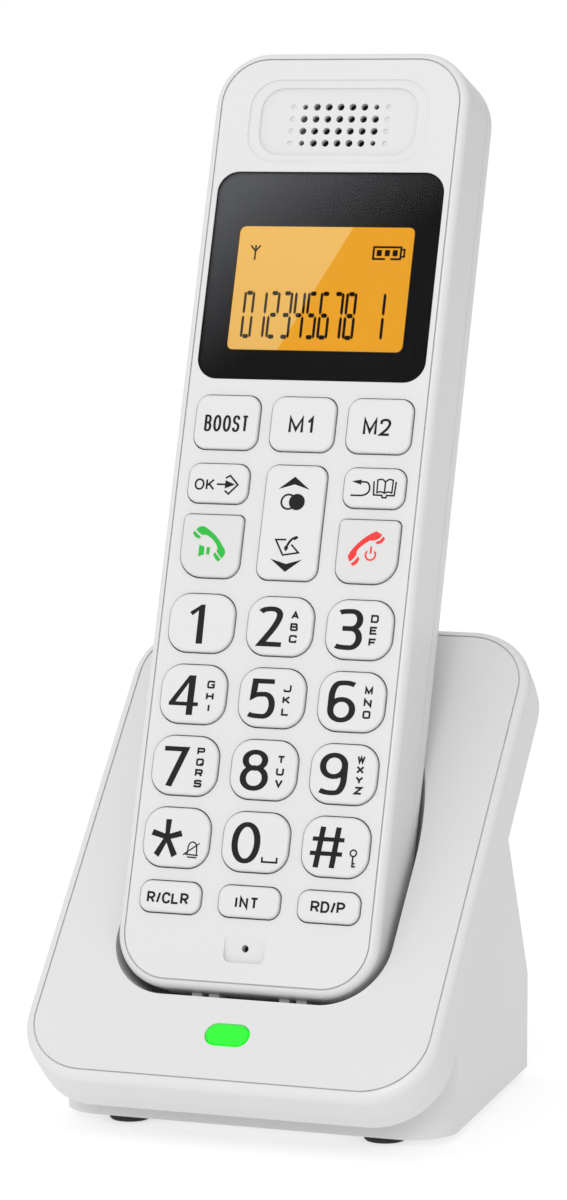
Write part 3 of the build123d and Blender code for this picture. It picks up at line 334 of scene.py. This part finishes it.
class Drawing:
    """Thin solids drawn on a flat front, gathered into one mesh. Places and sizes are in mm."""

    def __init__(self):
        self.points, self.faces, self.layer = [], [], 0

    def _start(self):
        top = PROUD + LAYER * self.layer
        self.layer += 1
        return len(self.points), top

    def solid(self, outline, *holes):
        """A flat plate inside the outline, less the holes."""
        start, top = self._start()
        loops = [[Vector((x, y, 0)) for x, y in loop] for loop in (outline, *holes)]
        flat = [p for loop in loops for p in loop]
        count = len(flat)
        self.points += [(p.x, p.y, top) for p in flat] + [(p.x, p.y, -SUNK) for p in flat]
        for triangle in tessellate_polygon(loops):
            self.faces.append([start + i for i in triangle])
            self.faces.append([start + count + i for i in reversed(triangle)])
        first = start
        for loop in loops:
            for i in range(len(loop)):
                a, b = first + i, first + (i + 1) % len(loop)
                self.faces.append([a, b, b + count, a + count])
            first += len(loop)

    def ribbon(self, line, half, closed=False):
        """A stroke along the line. half is half its width, or (across, up) as of an oval nib."""
        start, top = self._start()
        wide, high = half if isinstance(half, tuple) else (half, half)
        line = [Vector((x / wide, y / high)) for x, y in line]
        gaps = [(p - line[i - 1]).length for i, p in enumerate(line)]
        line = [p for i, p in enumerate(line) if (i == 0 and not closed) or gaps[i] > SAME_PLACE]
        count = len(line)
        for i, here in enumerate(line):
            before = line[i - 1] if closed or i else None
            after = line[(i + 1) % count] if closed or i < count - 1 else None
            steps = [(here - before).normalized()] if before is not None else []
            steps += [(after - here).normalized()] if after is not None else []
            normals = [Vector((-s.y, s.x)) for s in steps]
            across = sum(normals, Vector((0, 0)))
            across = across.normalized() if across.length > 1e-6 else normals[0]
            across = across / max(across.dot(normals[0]), MITRE)
            for side in (1, -1):
                p = here + across * side
                for z in (top, -SUNK):
                    self.points.append((p.x * wide, p.y * high, z))
        for i in range(count if closed else count - 1):
            a, b = start + 4 * i, start + 4 * ((i + 1) % count)
            for j, k in ((0, 2), (2, 3), (3, 1), (1, 0)):
                self.faces.append([a + j, a + k, b + k, b + j])
        if not closed:
            for a in (start, start + 4 * (count - 1)):
                self.faces.append([a, a + 2, a + 3, a + 1])

    def strokes(self, text, half, box=None, share=0.5):
        """Draws lines written as "x,y x,y~ ... | ...": ~ rounds a corner, a last o closes the line.

        In a box, the places run from 0 to 1 across it and up it.
        """
        x0, y0, x1, y1 = box or (0, 0, 1, 1)
        for part in text.split("|"):
            marks = part.split()
            closed = marks[-1] == "o"
            corners = []
            for mark in marks[: -1 if closed else None]:
                x, y = (float(v) for v in mark.rstrip("~").split(","))
                corners.append((Vector((x0 + x * (x1 - x0), y0 + y * (y1 - y0))), mark.endswith("~")))
            self.ribbon([tuple(p) for p in eased(corners, closed, share)], half, closed)

    def words(self, text, box, half, gap, share=0.5):
        """Letters side by side that fill the box (left, foot, right, top)."""
        left, foot, right, top = box
        wide, high = half
        unit = (right - left - gap * (len(text) - 1)) / sum(WIDTH.get(c, 1) for c in text)
        for letter in text:
            width = unit * WIDTH.get(letter, 1)
            cell = (left + wide, foot + high, left + width - wide, top - high)
            self.strokes(GLYPH[letter], half, cell, share)
            left += width + gap

    def disc(self, x, y, radius, inner=None, sides=48):
        turns = [math.tau * i / sides for i in range(sides)]
        rim = [(math.cos(turn), math.sin(turn)) for turn in turns]
        loops = [[(x + r * c, y + r * s) for c, s in rim] for r in (radius, inner) if r]
        self.solid(*loops)

    def piece(self, name, place, material, body):
        """The mesh of everything drawn, at this place, moving with the body."""
        mesh = bpy.data.meshes.new(name)
        shape = bmesh.new()
        points = [shape.verts.new(place @ (Vector(p) * MM)) for p in self.points]
        for face in self.faces:
            shape.faces.new([points[i] for i in face])
        bmesh.ops.recalc_face_normals(shape, faces=shape.faces)
        shape.to_mesh(mesh)
        shape.free()
        mesh.materials.append(material)
        made = bpy.data.objects.new(name, mesh)
        bpy.context.scene.collection.objects.link(made)
        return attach(made, body)


def eased(corners, closed, share):
    """The line through the corners. Each one marked round is a curve from this share of its sides on."""
    line = []
    for i, (here, soft) in enumerate(corners):
        if not soft:
            line.append(here)
            continue
        before, after = corners[i - 1][0], corners[(i + 1) % len(corners)][0]
        start, end = here.lerp(before, share), here.lerp(after, share)
        pull_in, pull_out = start.lerp(here, EASE), end.lerp(here, EASE)
        line += interpolate_bezier(start, pull_in, pull_out, end, CURVE_STEPS)
    return line


# Capitals and digits in a box from 0 to 1, as lines with round corners where marked.
GLYPH = {
    "A": "0,0 .5,1 1,0 | .2,.34 .8,.34",
    "B": "0,0 0,1 .92,1~ .92,.53~ 0,.53 | 0,.53 1,.53~ 1,0~ 0,0",
    "C": "1,.72 1,1~ 0,1~ 0,0~ 1,0~ 1,.28",
    "D": "0,0 0,1 1,1~ 1,0~ o",
    "E": "1,0 0,0 0,1 1,1 | 0,.52 .88,.52",
    "F": "0,0 0,1 1,1 | 0,.5 .85,.5",
    "G": "1,.76 1,1~ 0,1~ 0,0~ 1,0~ 1,.46 .55,.46",
    "H": "0,0 0,1 | 1,0 1,1 | 0,.5 1,.5",
    "I": ".5,0 .5,1",
    "J": "1,1 1,0~ 0,0~ 0,.3",
    "K": "0,0 0,1 | .95,1 .05,.38 | .32,.56 1,0",
    "L": "0,1 0,0 1,0",
    "M": "0,0 0,1 .5,.18 1,1 1,0",
    "N": "0,0 0,1 1,0 1,1",
    "O": "0,0~ 0,1~ 1,1~ 1,0~ o",
    "P": "0,0 0,1 1,1~ 1,.45~ 0,.45",
    "Q": "0,0~ 0,1~ 1,1~ 1,0~ o | .6,.3 1.05,-.05",
    "R": "0,0 0,1 1,1~ 1,.46~ 0,.46 | .5,.46 1,0",
    "S": ".98,.78 .98,1~ .02,1~ .02,.52~ 1,.52~ 1,0~ 0,0~ 0,.22",
    "T": "0,1 1,1 | .5,1 .5,0",
    "U": "0,1 0,0~ 1,0~ 1,1",
    "V": "0,1 .5,0 1,1",
    "W": "0,1 .24,0 .5,.8 .76,0 1,1",
    "X": "0,0 1,1 | 0,1 1,0",
    "Y": "0,1 .5,.46 1,1 | .5,.46 .5,0",
    "Z": "0,1 1,1 0,0 1,0",
    "1": "0,.72 .72,1 .72,0",
    "2": "0,.72 0,1~ 1,1~ 1,.52~ 0,0 1,0",
    "/": "0,-.02 1,1.02",
}
WIDTH = {"I": 0.3, "/": 0.55, "1": 0.62, "M": 1.25, "O": 1.12, "C": 1.05, "R": 1.05, "D": 1.05}

# The big digits, in mm from the key's middle, as the line down the middle of each stroke.
NIB = (0.59, 0.43)
DIGIT = {
    "key_2": "-3.66,2.42 -2.95,3.03~ -.06,3.03~ -.06,.8~ -3.2,-3.4 .72,-3.4",
    "key_3": "-3.7,2.9 -2.9,3.17~ .1,3.17~ .1,.06~ -3.05,.06"
    " | -2.9,.03 .2,.03~ .2,-3.4~ -3.2,-3.4~ -4.02,-3.12",
    "key_5": ".37,2.85 -3.22,2.85 -3.38,.12 -2.7,.5~ .26,.5~ .26,-3.5~ -2.9,-3.5~ -4.0,-3.22",
    "key_6": ".45,2.95 -1.0,3.35~ -3.66,3.0~ -3.66,-1.6 | -3.66,-3.45~ .4,-3.45~ .4,.25~ -3.66,.25~ o",
    "key_7": "-4.02,2.85 .02,2.85 -2.62,-3.92",
    "key_8": "-3.45,3.02~ .21,3.02~ .21,.1~ -3.45,.1~ o | -3.63,.2~ .52,.2~ .52,-3.5~ -3.63,-3.5~ o",
    "key_9": "-4.0,-3.14 -2.4,-3.62~ .26,-3.3~ .26,1.3 | -3.83,3.23~ .26,3.23~ .26,-.6~ -3.83,-.6~ o",
    "key_0": "-3.76,3.0~ .46,3.0~ .46,-3.55~ -3.76,-3.55~ o",
}
HASH = "-2.47,3.42 -3.25,-3.88 | .42,3.42 -.25,-3.84 | -4.25,1.21 1.65,1.21 | -4.5,-1.34 1.48,-1.34"
ONE = [(-2.28, 1.82), (-1.72, 1.25), (-0.62, 2.2), (-0.57, -3.88), (0.66, -3.88), (0.54, 3.3)]
ONE += [(-0.2, 3.27)]
FOUR = [(-0.92, 3.28), (0.36, 3.3), (0.34, -1.58), (1.24, -1.58), (1.25, -2.26), (0.33, -2.26)]
FOUR += [(0.32, -3.92), (-0.9, -3.92), (-0.9, -2.26), (-4.32, -2.26), (-4.36, -1.75)]
FOUR_HOLE = [(-0.89, 1.95), (-0.89, -1.58), (-3.12, -1.58)]
STAR = [(-2.18, 3.1), (-1.1, 3.1), (-1.22, 0.5), (0.85, 1.22), (1.28, 0.2), (-0.95, -0.42), (0.59, -3.1)]
STAR += [(-0.42, -3.72), (-1.66, -1.1), (-2.88, -3.77), (-3.85, -3.15), (-2.35, -0.42)]
STAR += [(-4.69, 0.13), (-4.33, 1.18), (-2.08, 0.5)]

# Letters beside a digit: the letters, left edge, top of the first and the step down to the next, in mm.
STACK = {
    "key_2": ("ABC", 2.1, 2.75, 2.15),
    "key_3": ("DEF", 2.1, 2.7, 2.13),
    "key_4": ("GHI", 2.62, 2.5, 2.13),
    "key_5": ("JKL", 2.2, 2.5, 2.13),
    "key_6": ("MNO", 2.45, 2.7, 2.13),
    "key_7": ("PQRS", 2.2, 3.28, 1.94),
    "key_8": ("TUV", 2.5, 2.6, 2.12),
    "key_9": ("WXYZ", 2.42, 3.4, 1.86),
}
LETTER_WIDE, LETTER_HIGH = 1.47, 1.45
FINE = 0.17  # half stroke of the small letters, in mm

# Words on the other keys: the word, its box, its half stroke across and up, the gap between letters.
WORDS = {
    "key_boost": ("BOOST", (-4.15, -1.88, 4.35, 1.22), (0.23, 0.19), 0.34),
    "key_m1": ("M1", (-2.48, -1.85, 2.4, 1.24), (0.24, 0.22), 0.72),
    "key_m2": ("M2", (-2.9, -1.85, 2.32, 1.3), (0.24, 0.22), 0.55),
    "key_recall": ("R/CLR", (-4.25, -1.3, 3.65, 0.74), (0.2, 0.19), 0.24),
    "key_int": ("INT", (-2.45, -1.26, 1.95, 0.78), (0.2, 0.19), 0.38),
    "key_redial": ("RD/P", (-3.18, -1.1, 3.22, 0.94), (0.2, 0.19), 0.24),
}


# The handsets on the talk and end keys, as outlines in mm from the key's middle.
TALK_HANDLE = [(-3.08, 2.88), (-2.59, 3.3), (-1.95, 3.53), (-1.2, 3.3), (-0.3, 2.74), (0.7, 1.99)]
TALK_HANDLE += [(1.54, 1.1), (2.24, 0.18), (2.8, -0.57), (3.05, -1.17), (2.85, -1.77), (2.45, -2.36)]
TALK_HANDLE += [(1.92, -1.8), (1.34, -1.05), (1.46, -0.55), (1.17, 0.2), (0.48, 0.95), (-0.17, 1.48)]
TALK_HANDLE += [(-0.8, 1.84), (-1.25, 1.93), (-1.75, 1.86), (-2.42, 2.25)]
END_HANDLE = [(1.45, 3.67), (2.58, 3.1), (2.35, 2.62), (1.93, 2.24), (1.1, 1.93), (0.44, 1.96)]
END_HANDLE += [(-0.28, 1.52), (-1.0, 0.93), (-1.63, 0.3), (-1.86, -0.18), (-1.85, -0.73)]
END_HANDLE += [(-2.32, -1.45), (-2.96, -2.06), (-3.26, -1.55), (-3.46, -1.0), (-3.02, -0.13)]
END_HANDLE += [(-2.26, 0.88), (-1.42, 1.76), (-0.56, 2.5), (0.38, 3.15)]


def small_letters(drawing, node):
    """The letters beside a digit, one below the other, a little shorter where there are four."""
    letters, left, top, step = STACK[node]
    high = LETTER_HIGH if len(letters) == 3 else LETTER_HIGH * 0.95
    for row, letter in enumerate(letters):
        upper = top - row * step
        box = (left + FINE, upper - high + FINE, left + LETTER_WIDE - FINE, upper - FINE)
        drawing.strokes(GLYPH[letter], FINE, box, 0.22)


def digits():
    """One printed piece for each key of the number pad."""
    for node in [*DIGIT, "key_1", "key_4", "key_star", "key_hash"]:
        d = Drawing()
        if node in DIGIT:
            d.strokes(DIGIT[node], NIB)
        elif node == "key_1":
            d.solid(ONE)
        elif node == "key_4":
            d.solid(FOUR, FOUR_HOLE)
        elif node == "key_star":
            d.solid(STAR)
            bell = "2.5,-2.9 2.6,-.7~ 4.15,-.75~ 4.25,-2.95"
            d.strokes(bell + " | 2.1,-2.98 4.55,-3.1 | 2.55,-3.46 4.35,-3.5", 0.12)
            d.strokes("1.72,-3.1 4.65,-.9", 0.11)
        else:
            d.strokes(HASH, (0.5, 0.38))
            d.disc(3.55, -0.98, 0.7, 0.44, 32)
            door_key = "3.53,-1.66 3.53,-3.5 | 3.66,-2.82 3.98,-2.82 | 3.66,-3.36 4.08,-3.36"
            d.strokes(door_key, (0.14, 0.15))
        if node == "key_0":
            d.strokes("1.68,-2.65 1.7,-3.5 4.46,-3.5 4.45,-2.6", FINE)
        if node in STACK:
            small_letters(d, node)
        d.piece("print_" + node, front_of(node), INK, node)


def words():
    """The printed words, one piece for each key."""
    for node, (text, box, half, gap) in WORDS.items():
        d = Drawing()
        d.words(text, box, half, gap)
        d.piece("print_" + node, front_of(node), INK, node)


def signs():
    """The drawn signs on the keys under the display."""
    d = Drawing()  # confirm, with an arrow into a memory
    d.words("OK", (-4.4, -1.4, -0.5, 0.72), (0.17, 0.16), 0.3)
    d.strokes("-.1,-.26 1.7,-.25", 0.16)
    d.solid([(1.5, 0.52), (1.5, -1.0), (3.4, -0.23)])
    d.strokes("1.5,.92 2.31,1.4 3.95,-.25 2.32,-2.0 1.55,-1.42", 0.15)
    d.piece("print_key_ok", front_of("key_ok"), INK, "key_ok")

    d = Drawing()  # back, and an open book
    d.solid([(-4.2, 1.06), (-2.4, 1.42), (-2.4, 0.48)])
    d.strokes("-2.5,1.0 -.72,1.0~ -.72,-1.5~ -4.18,-1.5", 0.15)
    d.strokes("-.03,1.2 .12,-1.32 1.68,-1.36 1.8,-1.78 2.5,-1.78 2.6,-1.36 4.02,-1.36 4.16,1.2", 0.14)
    d.strokes("2.12,1.1 1.5,1.72~ .66,1.42 .72,-.88 1.5,-.6~ 2.12,-1.0", 0.13, share=0.6)
    d.strokes("2.14,1.16 2.14,-1.05", 0.13)
    d.strokes("2.16,1.1 2.8,1.72~ 3.58,1.42 3.52,-.88 2.8,-.6~ 2.16,-1.0", 0.13, share=0.6)
    d.piece("print_key_book", front_of("key_book"), INK, "key_book")

    d = Drawing()  # up, ringer circles, redial pad, down
    d.solid([(-0.13, 8.37), (-3.05, 6.02), (-0.05, 6.95), (2.88, 6.04)])
    d.disc(-0.93, 3.72, 1.5, 1.16)
    d.disc(0.7, 3.72, 1.5)
    d.strokes("-.5,-3.24 -2.5,-3.29 -.88,-6.08 2.05,-5.56 .56,-4.12", 0.15)
    d.strokes("1.1,-2.85 .35,-3.2~ -.35,-4.6", 0.2)
    d.solid([(0.82, -2.72), (1.4, -2.5), (1.8, -2.8), (1.1, -3.32), (0.85, -3.1)])
    d.solid([(-0.1, -4.5), (0.02, -4.82), (-0.4, -5.36), (-0.76, -4.9), (-0.62, -4.38)])
    d.solid([(-3.08, -6.86), (-0.1, -9.14), (2.86, -6.82), (-0.06, -7.69)])
    d.piece("print_key_nav", front_of("key_nav"), INK, "key_nav")

    d = Drawing()  # talk: a lifted handset and a loudspeaker
    d.solid(TALK_HANDLE)
    d.solid([(-3.37, 2.65), (-3.6, 2.11), (-3.1, 1.52), (-2.41, 1.15), (-1.92, 1.46), (-2.66, 2.0)])
    d.solid([(1.12, -1.2), (0.76, -1.63), (1.17, -2.36), (1.82, -2.94), (2.28, -2.56), (1.66, -1.88)])
    d.solid([(-2.1, 0.06), (-2.1, -2.1), (-1.05, -1.72), (-1.1, -0.27)])
    d.solid([(-0.6, -0.34), (0.0, -0.36), (-0.04, -1.68), (-0.64, -1.66)])
    d.piece("print_key_talk", front_of("key_talk"), INK_GREEN, "key_talk")

    d = Drawing()  # end: a handset laid down and a power sign
    d.solid(END_HANDLE)
    d.solid([(2.87, 2.78), (3.22, 2.31), (2.73, 1.64), (1.96, 1.28), (1.4, 1.6), (2.31, 2.07)])
    low_end = [(-1.5, -1.03), (-1.18, -1.48), (-1.5, -2.21), (-2.23, -2.8), (-2.75, -2.44)]
    d.solid([*low_end, (-2.01, -1.79)])
    turn = [math.radians(a) for a in range(-225, 46, 10)]
    d.ribbon([(0.78 + 0.93 * math.cos(a), -0.68 + 0.93 * math.sin(a)) for a in turn], 0.16)
    d.strokes(".79,.85 .77,-.42", 0.16)
    d.piece("print_key_end", front_of("key_end"), INK_RED, "key_end")


# The display's figures: the bars each digit lights, a to f clockwise from the top, g in the middle.
BARS = {"0": "abcdef", "1": "bc", "2": "abged", "3": "abgcd", "4": "fgbc"}
BARS |= {"5": "afgcd", "6": "afgedc", "7": "abc", "8": "abcdefg"}
FIGURES, FIGURE_STEP, FIGURE_LEFT = "012345678", 2.47, -14.8  # mm from the panel's middle
FIGURE_WIDE, FIGURE_FOOT, FIGURE_TOP = 1.62, -9.25, -0.25
LONE_LEFT = 10.5  # left side of the figure that stands alone
BAR_THICK, BAR_THIN = 0.4, 0.235  # half strokes of the level and the upright bars


def figure(drawing, digit, left):
    """One figure of thin upright bars and short thick level ones."""
    right, foot, top = left + FIGURE_WIDE, FIGURE_FOOT, FIGURE_TOP
    waist, thick, thin = (foot + top) / 2, BAR_THICK, BAR_THIN
    level = {"a": top - thick, "g": waist, "d": foot + thick}
    upright = {"f": (left, waist, top), "b": (right, waist, top)}
    upright |= {"e": (left, foot, waist), "c": (right, foot, waist)}
    for bar in BARS[digit]:
        if bar in level:
            y, a, b = level[bar], left + 0.2, right - 0.2
            near, far = a + 0.22, b - 0.22
            above, below = y + thick, y - thick
            drawing.solid([(a, y), (near, above), (far, above), (b, y), (far, below), (near, below)])
        else:
            x, a, b = upright[bar]
            a, b = a + 0.14, b - 0.14
            low, high = a + 0.4, b - 0.4
            more, less = x + thin, x - thin
            drawing.solid([(x, a), (more, low), (more, high), (x, b), (less, high), (less, low)])


def display():
    """The figures, the aerial and the battery on the display."""
    d = Drawing()
    for i, digit in enumerate(FIGURES):
        figure(d, digit, FIGURE_LEFT + i * FIGURE_STEP)
    figure(d, "1", LONE_LEFT)
    d.piece("display_figures", PANEL, SIGN, "handset")
    d = Drawing()
    d.strokes("-13.88,5.6 -13.86,7.4 | -14.85,8.35 -13.87,7.25 -12.98,8.35", 0.16)
    d.strokes("-13.87,7.6 -13.87,8.42", 0.16)
    d.strokes("11.3,6.05 8.98,6.05 8.98,8.28 14.2,8.28 14.2,6.05 12.3,6.05", 0.19)
    d.strokes("14.2,7.85 14.88,7.85 14.88,6.5 14.2,6.5", 0.17)
    for x in (9.6, 11.15, 12.65):
        d.solid([(x, 6.6), (x + 0.95, 6.6), (x + 0.95, 7.75), (x, 7.75)])
    d.piece("display_signs", PANEL, SIGN, "handset")


digits()
words()
signs()
display()

# ------------------------------------------------------- camera, light, floor
scene = bpy.context.scene
scene.view_settings.view_transform = "Standard"

camera = bpy.data.objects.new("camera", bpy.data.cameras.new("camera"))
camera.location = (0.27425, -0.74625, 0.18062)
camera.rotation_euler = (math.radians(90 - 6.345), 0, math.radians(20.394))
camera.data.lens, camera.data.sensor_width = 133.1, 36.0
camera.data.clip_start, camera.data.clip_end = 0.01, 20.0
scene.collection.objects.link(camera)
scene.camera = camera

# White all round, dimmer towards the back right, which shades the object's right side.
DIM_SIDE, DIM_FROM, DIM_TO, DIM_LEAST = Vector((0.8, 0.6, 0.0)), 0.35, 0.9, 0.45
world = bpy.data.worlds.new("studio")
world.use_nodes = True
scene.world = world
sky = world.node_tree
direction = sky.nodes.new("ShaderNodeTexCoord").outputs["Generated"]
side = sky.nodes.new("ShaderNodeVectorMath")
side.operation = "DOT_PRODUCT"
side.inputs[1].default_value = DIM_SIDE
sky.links.new(direction, side.inputs[0])
dim = sky.nodes.new("ShaderNodeMapRange")
dim.interpolation_type = "SMOOTHSTEP"
spread = {"From Min": DIM_FROM, "From Max": DIM_TO, "To Min": 1.0, "To Max": DIM_LEAST}
for key, value in spread.items():
    dim.inputs[key].default_value = value
sky.links.new(side.outputs["Value"], dim.inputs["Value"])
sky.nodes["Background"].inputs["Color"].default_value = (1, 1, 1, 1)
sky.links.new(dim.outputs["Result"], sky.nodes["Background"].inputs["Strength"])


def softbox(name, place, target, size, power):
    """A round lamp of this many watts and metres across, turned to the target."""
    lamp = bpy.data.lights.new(name, "AREA")
    lamp.shape, lamp.size, lamp.energy = "DISK", size, power
    holder = bpy.data.objects.new(name, lamp)
    holder.location = place
    holder.rotation_euler = (Vector(target) - Vector(place)).to_track_quat("-Z", "Y").to_euler()
    scene.collection.objects.link(holder)


softbox("key_light", (0.17, -1.06, 0.6), (0, 0, 0.09), 0.5, 3.5)

bpy.ops.mesh.primitive_plane_add(size=8, location=(0, 0, 0))
floor = bpy.context.object
floor.name = "floor"
ground = Nodes("floor")
ground.set(
    Base_Color=ground.blend(ground.noise(6, 2), (0.45, 0.45, 0.45), (0.47, 0.47, 0.47)),
    Roughness=0.9,
    Specular_IOR_Level=0.0,
    Emission_Color=(1.0, 1.0, 1.0),
    Emission_Strength=0.6,
)
floor.data.materials.append(ground.material)
